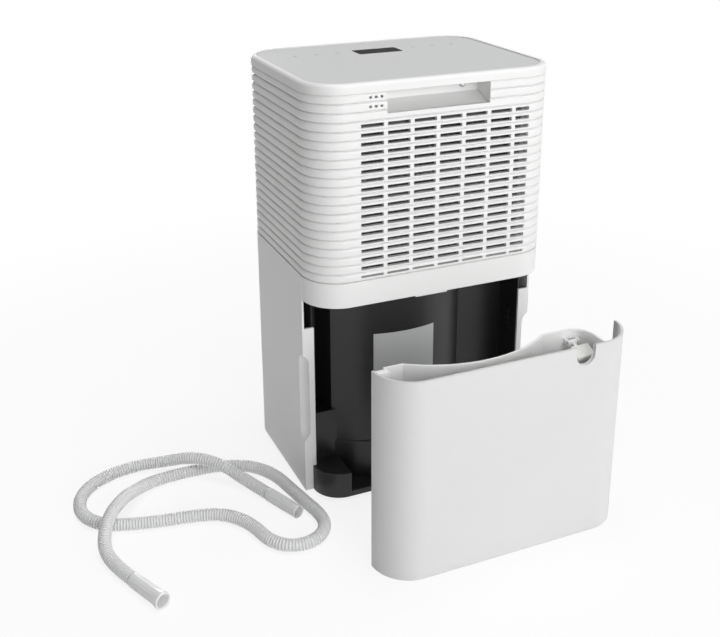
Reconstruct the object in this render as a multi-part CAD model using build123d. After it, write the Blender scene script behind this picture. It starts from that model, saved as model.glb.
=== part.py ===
from build123d import *
from math import ceil, pi, radians, sqrt, tan
import os

# A free-standing compressor dehumidifier in millimetres. The origin is on the floor under the
# middle of the cabinet, +Z is up, and the water tank leaves the cabinet towards -Y.

# Cabinet
BODY_W = 300.0
BODY_D = 234.0
BODY_R = 43.0
SIDE_TOP = 282.0
BAND_H = 29.0
SIDE_WALL = 2.5
FOOT_H = 4.0
FOOT_R = 9.0
FOOT_INSET_X = 34.0
FOOT_INSET_Y = 34.0
GAP = 0.3

# Ribs of the upper housing
RIB_COUNT = 21
RIB_PITCH = 10.0
RIB_ROUND = 3.0
RIB_INSET = 0.5
RIB_WALL = 2.0

# Rim and top panel
RIM_H = 11.0
RIM_ROUND = 3.5
PANEL_MARGIN = 7.0
PANEL_T = 3.0
PANEL_DROP = 0.8
LEDGE_W = 5.0
DISPLAY_W = 57.0
DISPLAY_D = 28.0
DISPLAY_R = 3.0
DISPLAY_T = 1.2
DISPLAY_BACK = 66.0

# Inlet grille: slots in the lower ribs of the rear face
GRILLE_INSET_LEFT = 55.5
GRILLE_INSET_RIGHT = 39.2
SLOT_ROWS = 18
SLOT_L = 26.5
SLOT_H = 4.0
SLOT_BAR = 4.8
LOWEST_SLOT_H = 2.4

# Outlet slots in the right side
OUTLET_FIRST_RIB = 12
OUTLET_ROWS = 6
OUTLET_COLUMNS = 2

# Sensor holes and handle pocket in the rear face
HOLE_OFF = 13.0
HOLE_STEP_X = 6.5
HOLE_W = 3.0
HOLE_H = 2.4
POCKET_X = -2.0
POCKET_W = 124.0
POCKET_H = 24.0
POCKET_DEPTH = 24.0
POCKET_RISE = 9.0
POCKET_WALL = 2.0

# Rear edges of the lower housing
END_W = 14.3
END_T = 3.0
SCALLOP_R = 14.0
SCALLOP_LOW = 70.0
SCALLOP_HIGH = 184.0
SCALLOP_OUT = 6.5
SCALLOP_BACK = 1.0
LUG_ROOM = 16.0
RING_H = 10.0
RING_W = 4.5

# Base tray
TRAY_T = 7.0
LIP_INSET = 10.0
RAIL_TOP = 36.0
RAIL_SIDE = 19.0
RAMP_X = 18.0
RAMP_W = 8.0

# Tank bay: side pockets and the bulge that clears the compressor
BAY_DEPTH = 88.0
LINER_T = 2.2
BULGE_X = -27.0
BULGE_HALF_W = 84.0
BULGE_FLANK = 7.0
BULGE_GAP = 4.0
SKIRT_T = 1.5
SKIRT_TOP = 58.0
CORNER_TOP = 100.0
CORNER_GAP = 1.5
PLATE_W = 78.0
PLATE_H = 92.0
PLATE_DROP = 54.0
PLATE_T = 0.5
PLATE_GLUE = 0.1

# Water tank, sized at its home in the bay
TANK_OUT_X = 16.5
TANK_OUT_Y = -153.5
TANK_TOP_GAP = 2.0
TANK_LIFT = 6.0
TANK_SIDE_GAP = 0.7
TANK_END_GAP = 0.6
TANK_WALL = 2.8
CAN_WALL = 2.2
CAN_DROP = 3.0
CAN_DEPTH = 50.0
CAN_WAIST = 22.7
CAN_SIDE_GAP = 3.0
CAN_STEP_BACK = 2.0
CAN_INSET_RIGHT = 40.0
CAN_CORNER_R = 22.0
KEEL_INSET = 65.0
KEEL_H = 27.5
LUG_H = 16.0
NOTCH_INSET = 69.0
NOTCH_W = 23.0
NOTCH_DEPTH = 22.0

# Float of the tank
FLOAT_INSET = 18.0
FLOAT_ARM = 18.0
FLOAT_W = 22.0
FLOAT_L = 18.0
FLOAT_H = 14.0
FLOAT_TILT = 25.0
FLOAT_PIN_R = 1.5
FLOAT_PIN_DROP = 12.0
FLOAT_PIN_OFF = 7.0
FLOAT_PLAY = 0.06
EAR_T = 2.5
EAR_GAP = 5.0

# Deck, drip tray and spout
DECK_T = 4.0
DECK_LIFT = 3.0
DECK_REAR = 14.3
DRIP_WALL = 2.0
DRIP_H = 20.0
DRIP_REAR = 17.0
DRIP_AHEAD = 6.7
DRIP_SIDE = 12.0
SPOUT_R = 5.5
SPOUT_BORE = 4.0
SPOUT_TIP = 10.8
SPOUT_REAR = 24.0
SPOUT_CLEAR = 9.0

# Air filter
FILTER_LAP = 2.5
FILTER_TANK_GAP = 1.0
FILTER_T = 4.6
FILTER_LIFT = 2.0
FILTER_OVER = 1.0
FILTER_BAR = 8.0
FILTER_MESH_T = 0.8
GUIDE_W = 7.0
TAB_X = -4.0
TAB_W = 40.0
TAB_T = 3.0
TAB_DROP = 5.0

# Coils
COIL_X = 4.0
COIL_INSET = 52.0
COIL_T = 24.0
COIL_HEAD = 6.0
COIL_GAP = 7.0
FIN_COUNT = 26
FIN_T = 1.0
COIL_TUBE_R = 4.0
COIL_TUBE_OFF = 6.0
COIL_TUBE_OUT = 8.0
COIL_ROWS = 7

# Fan
FAN_X = 5.0
FAN_RISE = 2.0
FAN_FRONT = 10.0
SCROLL_R = 90.0
SCROLL_W = 68.0
SCROLL_T = 2.0
INLET_R = 60.0
WHEEL_R = 74.0
WHEEL_W = 52.0
BLADE_COUNT = 28
BLADE_L = 13.0
BLADE_T = 1.4
DISC_T = 3.0
HUB_R = 12.0
SHAFT_R = 4.0
SHAFT_PLAY = 0.05
SHAFT_IN_MOTOR = 34.0
MOTOR_R = 36.0
MOTOR_L = 46.0
MOTOR_FLANGE_R = 46.0
MOTOR_FLANGE_T = 3.0
MOTOR_HOLE_R = 20.0
DUCT_H = 58.0
DUCT_W = 60.0

# Compressor
COMP_GAP = 9.0
COMP_R = 54.0
COMP_H = 140.0
COMP_ROUND = 22.0
MOUNT_H = 14.0
MOUNT_R = 11.0
MOUNT_AHEAD = 66.0
MOUNT_SIDE = 57.0
MOUNT_BEHIND = 20.0
PLATE_FOOT_T = 3.0
BOLT_R = 3.0
PIPE_R = 3.4
PIPE_BEND = 12.0
PIPE_OFF = 20.0
PIPE_SPREAD = 14.0
PIPE_HIGH = 45.0
RISER_OUT = 18.0
RISER_AHEAD = 30.0
LOOP_OUT = 16.0

# Electrics
BOARD_W = 150.0
BOARD_D = 54.0
BOARD_T = 1.6
BOARD_DROP = 14.0
POST_R = 3.0
BOX_W = 70.0
BOX_D = 36.0
BOX_H = 44.0
BOX_INSET = 34.0
WALL_ROOM = 8.0
CAP_R = 16.0
CAP_H = 66.0
CAP_INSET = 60.0
SWITCH_DROP = 84.0
SWITCH_H = 34.0
SWITCH_W = 10.0
PIP_STEP = 9.0
GLAND_R = 9.0
GLAND_BORE = 4.0
GLAND_Y = 60.0
GLAND_Z = 44.0

# Drain hose
HOSE_OD = 15.0
HOSE_VALLEY_OD = 12.6
HOSE_BORE = 10.4
HOSE_RIBS = 190
CUFF_OD = 16.0
CUFF_BORE = 11.2
CUFF_L = 52.0
FLARE_OD = 19.0
FLARE_L = 12.0
HOSE_ROUTE = [
    (-195, -69, 8.1), (-212, -28, 8.1), (-237, -3, 23.8), (-266, 23, 23.8), (-291, 46, 11.0),
    (-320, 56, 7.6), (-351, 52, 7.6), (-374, 43, 7.6), (-393, 28, 7.6), (-405, 5, 7.6),
    (-405, -24, 7.6), (-386, -51, 7.6), (-354, -62, 7.6), (-318, -70, 7.6), (-285, -75, 7.6),
    (-257, -84, 7.6), (-239, -103, 7.6), (-229, -125, 7.6), (-224, -149, 7.6), (-211, -168, 7.6),
    (-189, -175, 7.6), (-167, -168, 7.6), (-154, -149, 7.6), (-154, -126, 7.6), (-160, -102, 7.6),
    (-167, -68, 7.6), (-175, -30, 7.6), (-199, 2, 7.6), (-234, 15, 7.6), (-278, 17, 7.6),
    (-317, 14, 7.6), (-343, -6, 13.0), (-360, -32, 23.8), (-382, -61, 23.8), (-395, -97, 13.0),
    (-388, -128, 7.7), (-375, -158, 8.4),
]

# Planes and heights that the pieces share
REAR = -BODY_D / 2
FRONT = BODY_D / 2
END_Y = REAR + BODY_R
DISPLAY_Y = FRONT - DISPLAY_BACK
BAND_LOW = SIDE_TOP - BAND_H
RIM_LOW = SIDE_TOP + RIB_COUNT * RIB_PITCH
TOP = RIM_LOW + RIM_H
CORE_INSET = RIB_INSET + RIB_ROUND + RIB_WALL
CORE_REAR = REAR + CORE_INSET
TRAY_FLOOR = FOOT_H + TRAY_T
BAY_BACK = REAR + BAY_DEPTH
BAY_HALF_W = BODY_W / 2 - END_W + GAP
PLATE_TOP = BAND_LOW - PLATE_DROP
HOLE_X = POCKET_X - POCKET_W / 2 - HOLE_OFF
GRILLE_LEFT = GRILLE_INSET_LEFT - BODY_W / 2
GRILLE_RIGHT = BODY_W / 2 - GRILLE_INSET_RIGHT
DECK_LOW = BAND_LOW + DECK_LIFT
DECK_TOP = DECK_LOW + DECK_T
PANEL_LOW = TOP - PANEL_DROP - PANEL_T
TANK_TOP = BAND_LOW - TANK_TOP_GAP
TANK_LOW = TRAY_FLOOR + TANK_LIFT
CAN_TOP = TANK_TOP - CAN_DROP
CAN_LEFT = BAY_HALF_W - CAN_SIDE_GAP
CAN_RIGHT = BODY_W / 2 - CAN_INSET_RIGHT
KEEL_HALF_W = BODY_W / 2 - KEEL_INSET
RAIL_X = KEEL_HALF_W + RAIL_SIDE
NOTCH_X = BODY_W / 2 - NOTCH_INSET
FLOAT_X = CAN_RIGHT - FLOAT_INSET
LUG_NOTCH_Z = CAN_TOP - LUG_H - LUG_ROOM
CAN_REAR = REAR + CAN_DEPTH
CAN_FRONT = REAR + TANK_WALL
CAN_STEP = END_Y - TANK_END_GAP - CAN_STEP_BACK
WAIST_Y = REAR + CAN_WAIST
WAIST_SAG = CAN_DEPTH - CAN_WAIST
WAIST_R = (BULGE_HALF_W ** 2 + WAIST_SAG ** 2) / (2 * WAIST_SAG)
WAIST_MID_Y = WAIST_Y + WAIST_R
BULGE_R = WAIST_R - BULGE_GAP
BULGE_SIDE_Y = WAIST_MID_Y - sqrt(BULGE_R ** 2 - BULGE_HALF_W ** 2)
COMP_Y = WAIST_MID_Y - BULGE_R + LINER_T + COMP_GAP + COMP_R
FILTER_LEFT = GRILLE_LEFT - FILTER_LAP
FILTER_RIGHT = CAN_RIGHT - CAN_WALL - FILTER_TANK_GAP
FILTER_LOW = SIDE_TOP + FILTER_LIFT
FILTER_HIGH = SIDE_TOP + SLOT_ROWS * RIB_PITCH + FILTER_OVER
COIL_W = BODY_W - 2 * COIL_INSET
COIL_LOW = DECK_TOP + DRIP_WALL
COIL_TOP = RIM_LOW - POCKET_H - POCKET_WALL - COIL_HEAD
FAN_Z = COIL_TOP + FAN_RISE - SCROLL_R
EVAP_Y = REAR + DRIP_REAR + DRIP_WALL + COIL_T / 2 + GAP
COND_Y = EVAP_Y + COIL_T + COIL_GAP
SCROLL_Y = COND_Y + COIL_T / 2 + FAN_FRONT
SCROLL_BACK = SCROLL_Y + SCROLL_W
TANK_OUT = (TANK_OUT_X, TANK_OUT_Y, -TANK_LOW)


def block(x, y, z):
    """Box between the low and the high value on each axis."""
    middle = Pos((x[0] + x[1]) / 2, (y[0] + y[1]) / 2, (z[0] + z[1]) / 2)
    return middle * Box(x[1] - x[0], y[1] - y[0], z[1] - z[0])


def slab(width, depth, radius, low, high):
    """Upright prism with a rounded rectangle as its plan, centred on the cabinet."""
    return Pos(0, 0, low) * extrude(RectangleRounded(width, depth, radius), high - low)


def body_slab(inset, low, high):
    """Slab of the cabinet's plan, drawn in by an inset on every side."""
    return slab(BODY_W - 2 * inset, BODY_D - 2 * inset, BODY_R - inset, low, high)


def rod(start, end, radius):
    """Round bar from one point to another."""
    run = Vector(*end) - Vector(*start)
    bar = Cylinder(radius, run.length, align=(Align.CENTER, Align.CENTER, Align.MIN))
    return Plane(origin=start, z_dir=run) * bar


def tube(start, end, radius, bore):
    """Round tube from one point to another."""
    return rod(start, end, radius) - rod(start, end, bore)


def both_sides(piece):
    """The piece and its mirror image across the cabinet's middle."""
    return piece + mirror(piece, Plane.YZ)


def upper_housing():
    """Ribbed shell with the inlet and outlet slots, the handle opening and the rear band."""
    width = BODY_W - 2 * RIB_INSET
    depth = BODY_D - 2 * RIB_INSET
    rib = extrude(RectangleRounded(width, depth, BODY_R - RIB_INSET), RIB_PITCH)
    faces = rib.faces().sort_by(Axis.Z)
    rib = fillet(faces[0].edges() + faces[-1].edges(), RIB_ROUND)
    shell = Part() + [Pos(0, 0, SIDE_TOP + i * RIB_PITCH) * rib for i in range(RIB_COUNT)]
    band = body_slab(RIB_INSET, BAND_LOW, SIDE_TOP)
    shell += band & block((-BODY_W, BODY_W), (REAR - 1, END_Y), (BAND_LOW, SIDE_TOP))
    shell -= body_slab(CORE_INSET, BAND_LOW - 1, RIM_LOW + 1)
    return shell - inlet_slots() - outlet_slots() - sensor_holes() - [pocket_opening()]


def rib_middle(row):
    return SIDE_TOP + (row + 0.5) * RIB_PITCH


def inlet_slots():
    """Rows of slots across the grille, as many as fit, the last one of each row cut short."""
    through = (REAR - 1, CORE_REAR + 4)
    pitch = SLOT_L + SLOT_BAR
    slots = []
    for row in range(SLOT_ROWS):
        tall = LOWEST_SLOT_H if row == 0 else SLOT_H
        z = (rib_middle(row) - tall / 2, rib_middle(row) + tall / 2)
        for column in range(ceil((GRILLE_RIGHT - GRILLE_LEFT) / pitch)):
            left = GRILLE_LEFT + column * pitch
            slots.append(block((left, min(left + SLOT_L, GRILLE_RIGHT)), through, z))
    return slots


def outlet_slots():
    through = (BODY_W / 2 - CORE_INSET - 1, BODY_W / 2 + 1)
    pitch = SLOT_L + SLOT_BAR
    slots = []
    for row in range(OUTLET_FIRST_RIB, OUTLET_FIRST_RIB + OUTLET_ROWS):
        z = (rib_middle(row) - SLOT_H / 2, rib_middle(row) + SLOT_H / 2)
        for column in range(OUTLET_COLUMNS):
            near = (SCROLL_Y + SCROLL_BACK) / 2 + (column - OUTLET_COLUMNS / 2) * pitch + SLOT_BAR / 2
            slots.append(block(through, (near, near + SLOT_L), z))
    return slots


def sensor_holes():
    """Two rows of three small square holes in the two ribs under the rim."""
    holes = []
    for row in (RIB_COUNT - 2, RIB_COUNT - 1):
        z = (rib_middle(row) - HOLE_H / 2, rib_middle(row) + HOLE_H / 2)
        for step in (-1, 0, 1):
            x = HOLE_X + step * HOLE_STEP_X
            holes.append(block((x - HOLE_W / 2, x + HOLE_W / 2), (REAR - 1, CORE_REAR + 1), z))
    return holes


def pocket_opening():
    x = (POCKET_X - POCKET_W / 2, POCKET_X + POCKET_W / 2)
    return block(x, (REAR - 1, CORE_REAR + 1), (RIM_LOW - POCKET_H, RIM_LOW + 1))


def handle_pocket():
    """Scoop behind the handle opening, with a floor that climbs inwards."""
    x = (POCKET_X - POCKET_W / 2, POCKET_X + POCKET_W / 2)
    low = RIM_LOW - POCKET_H
    back = CORE_REAR + POCKET_DEPTH
    cup = block(
        (x[0] - POCKET_WALL, x[1] + POCKET_WALL),
        (CORE_REAR, back + POCKET_WALL),
        (low - POCKET_WALL, RIM_LOW),
    )
    side = Polyline(
        (CORE_REAR - 1, low), (CORE_REAR + 2, low), (back, low + POCKET_RISE),
        (back, RIM_LOW + 1), (CORE_REAR - 1, RIM_LOW + 1), close=True,
    )
    hollow = extrude(Plane.YZ * make_face(side), POCKET_W)
    return cup - Pos(x[0], 0, 0) * hollow


def top_rim():
    rim = body_slab(0, RIM_LOW, TOP)
    rim = fillet(rim.faces().sort_by(Axis.Z)[-1].edges(), RIM_ROUND)
    rim -= body_slab(PANEL_MARGIN, PANEL_LOW, TOP + 1)
    return rim - body_slab(PANEL_MARGIN + LEDGE_W, RIM_LOW - 1, TOP)


def top_panel():
    """Inset plate with the display's recess and the four posts of the control board."""
    panel = body_slab(PANEL_MARGIN + GAP, PANEL_LOW, PANEL_LOW + PANEL_T)
    panel -= Pos(0, DISPLAY_Y, PANEL_LOW + PANEL_T - DISPLAY_T) * extrude(
        RectangleRounded(DISPLAY_W, DISPLAY_D, DISPLAY_R), DISPLAY_T
    )
    return panel + [
        rod((x, y, PANEL_LOW - BOARD_DROP), (x, y, PANEL_LOW), POST_R) for x, y in board_posts()
    ]


def display_window():
    pane = extrude(RectangleRounded(DISPLAY_W, DISPLAY_D, DISPLAY_R), DISPLAY_T)
    return Pos(0, DISPLAY_Y, PANEL_LOW + PANEL_T - DISPLAY_T) * pane


def board_posts():
    dx = BOARD_W / 2 - 2 * POST_R
    dy = BOARD_D / 2 - 2 * POST_R
    return [(x, DISPLAY_Y + y) for x in (-dx, dx) for y in (-dy, dy)]


def control_board():
    high = PANEL_LOW - BOARD_DROP
    x = (-BOARD_W / 2, BOARD_W / 2)
    y = (DISPLAY_Y - BOARD_D / 2, DISPLAY_Y + BOARD_D / 2)
    display = block((-DISPLAY_W / 2, DISPLAY_W / 2), (DISPLAY_Y - 12, DISPLAY_Y + 12), (high, high + 8))
    return block(x, y, (high - BOARD_T, high)) + display


def lower_housing():
    """Plain U-shaped shell: two sides and the front, with a flange and a scallop at each rear edge."""
    behind = block((-BODY_W, BODY_W), (REAR - 1, END_Y), (0, SIDE_TOP + 1))
    shell = body_slab(0, FOOT_H, SIDE_TOP) - body_slab(SIDE_WALL, 0, SIDE_TOP + 1)
    ring = body_slab(SIDE_WALL / 2, SIDE_TOP - RING_H, SIDE_TOP)
    ring -= body_slab(SIDE_WALL + RING_W, 0, SIDE_TOP + 1)
    shell = shell + ring - behind
    edge = -BODY_W / 2
    flange = block((edge, edge + END_W), (END_Y, END_Y + END_T), (FOOT_H, BAND_LOW))
    backing = block(
        (edge, edge + SCALLOP_R - 4), (END_Y, END_Y + SCALLOP_R + 2), (SCALLOP_LOW - 4, SCALLOP_HIGH + 4)
    )
    shell += both_sides(flange + backing)
    shell -= both_sides(scallop()) + both_sides(lug_notch())
    return shell - rod((0, GLAND_Y, GLAND_Z), (BODY_W, GLAND_Y, GLAND_Z), GLAND_R - 2)


def scallop():
    """Upright capsule that is scooped out of a rear edge for the fingers."""
    x = -BODY_W / 2 - SCALLOP_OUT
    y = END_Y + SCALLOP_BACK
    low = (x, y, SCALLOP_LOW + SCALLOP_R)
    high = (x, y, SCALLOP_HIGH - SCALLOP_R)
    return rod(low, high, SCALLOP_R) + Pos(*low) * Sphere(SCALLOP_R) + Pos(*high) * Sphere(SCALLOP_R)


def lug_notch():
    edge = -BODY_W / 2
    return block(
        (edge + SIDE_WALL, edge + END_W + 1), (END_Y - 1, END_Y + END_T + 1), (LUG_NOTCH_Z, BAND_LOW)
    )


def base_tray():
    """Tray with a rail along each side that ends in a corner block, room for the mounts and two ramps."""
    wide = body_slab(SIDE_WALL + GAP, FOOT_H, RAIL_TOP)
    wide &= block((-BODY_W, BODY_W), (END_Y, FRONT), (FOOT_H, RAIL_TOP))
    lip_d = BODY_D - LIP_INSET
    narrow = slab(BODY_W - 2 * LIP_INSET, lip_d, BODY_R - LIP_INSET, FOOT_H, RAIL_TOP)
    narrow = Pos(0, LIP_INSET / 2, 0) * narrow
    narrow &= block((-BODY_W, BODY_W), (REAR, END_Y + END_T), (FOOT_H, RAIL_TOP))
    tray = wide + narrow
    tray -= block((-BODY_W, BODY_W), (BAY_BACK + LINER_T, FRONT), (TRAY_FLOOR, RAIL_TOP + 1))
    tray -= block((-RAIL_X, RAIL_X), (REAR - 1, FRONT), (TRAY_FLOOR, RAIL_TOP + 1))
    edge = -BODY_W / 2
    seat = block(
        (edge - 1, edge + END_W + GAP), (END_Y - GAP, END_Y + END_T + GAP), (0, RAIL_TOP + 1)
    )
    tray -= both_sides(seat)
    tray -= [rod((x, y, TRAY_FLOOR), (x, y, RAIL_TOP + 1), MOUNT_R + GAP) for x, y in mount_places()]
    return tray + tank_ramps()


def tank_ramps():
    """Wedge in front of the bulge that the keel's rear edge runs down, as steep as the tank's path."""
    slope = TANK_LOW / -TANK_OUT_Y
    front = REAR + LIP_INSET
    back = WAIST_Y - GAP
    outer = RAMP_X + RAMP_W
    keel_end = WAIST_MID_Y - sqrt(WAIST_R ** 2 - outer ** 2)
    high = TANK_LOW - GAP - slope * (keel_end - back)
    side = Polyline(
        (front, TRAY_FLOOR), (back, TRAY_FLOOR), (back, high), (front, high - slope * (back - front)),
        close=True,
    )
    wedge = extrude(Plane.YZ * make_face(side), RAMP_W)
    return Pos(BULGE_X - outer, 0, 0) * wedge + Pos(BULGE_X + RAMP_X, 0, 0) * wedge


def rubber_feet():
    x = BODY_W / 2 - FOOT_INSET_X
    y = BODY_D / 2 - FOOT_INSET_Y
    return [rod((a, b, 0), (a, b, FOOT_H), FOOT_R) for a in (-x, x) for b in (-y, y)]


def bulge_plan(grow):
    """Plan of the bulge with its crown moved out by a little, open towards the front."""
    left = BULGE_X - BULGE_HALF_W
    right = BULGE_X + BULGE_HALF_W
    side_y = BULGE_SIDE_Y - grow
    back = BAY_BACK + LINER_T
    flanks = Polyline(
        (left, side_y), (left - BULGE_FLANK, back), (right + BULGE_FLANK, back), (right, side_y),
    )
    crown = ThreePointArc((right, side_y), (BULGE_X, WAIST_MID_Y - BULGE_R - grow), (left, side_y))
    return make_face([flanks, crown])


def bay_liner():
    """Thin wall round the tank bay, with the bulge, its skirt and the block in the left corner."""
    floor_y = END_Y + END_T
    back = BAY_BACK + LINER_T
    tall = DECK_LOW - TRAY_FLOOR
    half = BAY_HALF_W + LINER_T
    shell = block((-half, half), (floor_y, back), (TRAY_FLOOR, DECK_LOW))
    pocket = block((-BAY_HALF_W, BAY_HALF_W), (floor_y - 1, BAY_BACK), (TRAY_FLOOR - 1, DECK_LOW + 1))
    corner_y = CAN_REAR + CORNER_GAP
    corner = block((-half, BULGE_X), (corner_y, back), (TRAY_FLOOR, CORNER_TOP))
    shell = shell - pocket + corner
    shell -= block(
        (-BAY_HALF_W, BULGE_X), (corner_y + LINER_T, back + 1), (TRAY_FLOOR - 1, CORNER_TOP - LINER_T)
    )
    shell += Pos(0, 0, TRAY_FLOOR) * extrude(bulge_plan(0), tall)
    shell += Pos(0, 0, TRAY_FLOOR) * extrude(bulge_plan(SKIRT_T), SKIRT_TOP - TRAY_FLOOR)
    inner = offset(bulge_plan(0), -LINER_T)
    hollow = extrude(inner + Pos(0, LINER_T, 0) * inner, tall + 2)
    shell -= Pos(0, 0, TRAY_FLOOR - 1) * hollow
    rail = block((RAIL_X - GAP, BODY_W), (REAR, back + GAP), (0, RAIL_TOP))
    return shell - both_sides(rail)


def bay_plate():
    """Bare plate on the crown of the bulge, curved with it."""
    middle = Pos(BULGE_X, WAIST_MID_Y, PLATE_TOP - PLATE_H)
    inner = BULGE_R + PLATE_GLUE
    ring = extrude(Circle(inner + PLATE_T) - Circle(inner), PLATE_H)
    window = block(
        (BULGE_X - PLATE_W / 2, BULGE_X + PLATE_W / 2), (REAR, BULGE_SIDE_Y), (0, PLATE_TOP)
    )
    return (middle * ring) & window


def panel_plan(inset):
    """Plan that the tank's panel follows, a little narrower than the cabinet, drawn in by an inset."""
    width = BODY_W - 2 * TANK_SIDE_GAP
    return RectangleRounded(width - 2 * inset, BODY_D - 2 * inset, BODY_R - inset)


def tank_slab(inset, low, high):
    """Prism of the tank panel's plan, open towards the cabinet."""
    whole = Pos(0, 0, low) * extrude(panel_plan(inset), high - low)
    return whole & block((-BODY_W, BODY_W), (REAR - 1, END_Y - TANK_END_GAP), (low, high))


def hose_notch():
    """Round-bottomed slot in the tank's front for the drain hose."""
    low = TANK_TOP - NOTCH_DEPTH + NOTCH_W / 2
    through = (REAR - 1, CAN_FRONT + CAN_WALL + 2)
    slot = block((NOTCH_X - NOTCH_W / 2, NOTCH_X + NOTCH_W / 2), through, (low, TANK_TOP + 1))
    return slot + rod((NOTCH_X, through[0], low), (NOTCH_X, through[1], low), NOTCH_W / 2)


def tank_panel():
    panel = tank_slab(0, TANK_LOW, TANK_TOP) - tank_slab(TANK_WALL, TANK_LOW - 1, TANK_TOP + 1)
    return Pos(*TANK_OUT) * (panel - hose_notch())


def can_plan(inset):
    """Plan of the container: it fills the panel's bend, and its rear wall curves in round the bulge."""
    rear = CAN_REAR - inset
    right = CAN_RIGHT - inset
    turn = CAN_CORNER_R - inset
    bend = turn * (1 - sqrt(0.5))
    step = CAN_STEP - inset
    left = -CAN_LEFT + inset
    outline = Polyline(
        (right, rear - turn), (right, REAR), (-BODY_W / 2, REAR), (-BODY_W / 2, step), (left, step),
        (left, rear), (right - turn, rear),
    )
    corner = ThreePointArc((right - turn, rear), (right - bend, rear - bend), (right, rear - turn))
    region = make_face([outline, corner])
    return (panel_plan(TANK_WALL + inset) & region) - Pos(BULGE_X, WAIST_MID_Y) * Circle(WAIST_R + inset)


def can_prism(inset, low, high):
    return Pos(0, 0, low) * extrude(can_plan(inset), high - low)


def keel_window(inset):
    half = KEEL_HALF_W - inset
    return block((-half, half), (REAR, CAN_REAR), (0, TANK_LOW + KEEL_H + CAN_WALL + 1))


def tank_container():
    """Open vessel with a deeper keel in the middle, a lug at its left end and the float's ears."""
    shelf = TANK_LOW + KEEL_H
    can = can_prism(0, shelf, CAN_TOP) + (can_prism(0, TANK_LOW, shelf) & keel_window(0))
    can -= can_prism(CAN_WALL, shelf + CAN_WALL, CAN_TOP + 1)
    sump = can_prism(CAN_WALL, TANK_LOW + CAN_WALL, shelf + CAN_WALL + 1)
    can -= sump & keel_window(CAN_WALL)
    lug_y = (CAN_STEP - CAN_WALL, END_Y + END_T - GAP)
    lug = block((-BODY_W / 2, -CAN_LEFT), lug_y, (CAN_TOP - LUG_H, CAN_TOP))
    can += lug & (Pos(0, 0, CAN_TOP - LUG_H) * extrude(panel_plan(TANK_WALL), LUG_H))
    can += float_ears()
    return Pos(*TANK_OUT) * (can - hose_notch())


def float_pin_place():
    """Y and Z of the float's pin, with the tank at home."""
    return CAN_REAR - CAN_WALL - FLOAT_PIN_OFF, CAN_TOP - FLOAT_PIN_DROP


def float_ears():
    y, z = float_pin_place()
    ears = []
    for side in (-1, 1):
        inner = FLOAT_X + side * EAR_GAP
        outer = inner + side * EAR_T
        ear = block(
            (min(inner, outer), max(inner, outer)),
            (y - 2 * FLOAT_PIN_R, CAN_REAR - CAN_WALL / 2),
            (z - 2 * FLOAT_PIN_R, z + 2 * FLOAT_PIN_R),
        )
        ears.append(ear - rod((inner - EAR_T, y, z), (inner + EAR_T, y, z), FLOAT_PIN_R))
    return ears


def float_pin():
    y, z = float_pin_place()
    reach = EAR_GAP + EAR_T
    return Pos(*TANK_OUT) * rod((FLOAT_X - reach, y, z), (FLOAT_X + reach, y, z), FLOAT_PIN_R)


def float_turned(piece):
    """Piece modelled level, hung down about the pin as in an empty tank, and moved out with the tank."""
    y, z = float_pin_place()
    pin = Pos(FLOAT_X, y, z)
    return Pos(*TANK_OUT) * pin * Rot(FLOAT_TILT, 0, 0) * piece


def float_arm():
    half = EAR_GAP - 2 * GAP
    hub = rod((-half, 0, 0), (half, 0, 0), 2 * FLOAT_PIN_R)
    arm = block((-half / 2, half / 2), (-FLOAT_ARM + FLOAT_L / 2, 0), (-FLOAT_PIN_R, FLOAT_PIN_R))
    hole = rod((-half - 1, 0, 0), (half + 1, 0, 0), FLOAT_PIN_R + FLOAT_PLAY)
    return float_turned(hub + arm - hole)


def float_block():
    middle = Pos(0, -FLOAT_ARM, 0)
    foam = Box(FLOAT_W, FLOAT_L, FLOAT_H)
    foam = fillet(foam.edges().filter_by(Axis.X), FLOAT_H / 5)
    return float_turned(middle * foam)


def deck():
    """Plate over the tank bay that carries the coils and the fan."""
    plate = body_slab(CORE_INSET + GAP, DECK_LOW, DECK_TOP)
    plate &= block((-BODY_W, BODY_W), (REAR + DECK_REAR, FRONT), (DECK_LOW, DECK_TOP))
    spout_y = REAR + SPOUT_REAR
    plate -= rod((NOTCH_X, spout_y, DECK_LOW - 1), (NOTCH_X, spout_y, DECK_TOP + 1), SPOUT_CLEAR)
    for x, y in (suction_riser(), discharge_riser()):
        plate -= rod((x, y, DECK_LOW - 1), (x, y, DECK_TOP + 1), PIPE_R + 2)
    return plate


def drip_tray():
    half = COIL_W / 2 + COIL_TUBE_OUT + DRIP_SIDE
    x = (COIL_X - half, COIL_X + half)
    y = (REAR + DRIP_REAR, COND_Y + COIL_T / 2 + DRIP_AHEAD + DRIP_WALL)
    tray = block(x, y, (DECK_TOP, DECK_TOP + DRIP_H))
    tray -= block(
        (x[0] + DRIP_WALL, x[1] - DRIP_WALL), (y[0] + DRIP_WALL, y[1] - DRIP_WALL),
        (DECK_TOP + DRIP_WALL, DECK_TOP + DRIP_H + 1),
    )
    spout_y = REAR + SPOUT_REAR
    return tray - rod((NOTCH_X, spout_y, DECK_LOW), (NOTCH_X, spout_y, COIL_LOW + 1), SPOUT_BORE)


def drain_spout():
    spout_y = REAR + SPOUT_REAR
    low = (NOTCH_X, spout_y, DECK_TOP - SPOUT_TIP)
    return tube(low, (NOTCH_X, spout_y, DECK_TOP), SPOUT_R, SPOUT_BORE)


def filter_y():
    """Rear and front face of the filter, just behind the grille."""
    return CORE_REAR + 5 * GAP, CORE_REAR + 5 * GAP + FILTER_T


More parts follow.
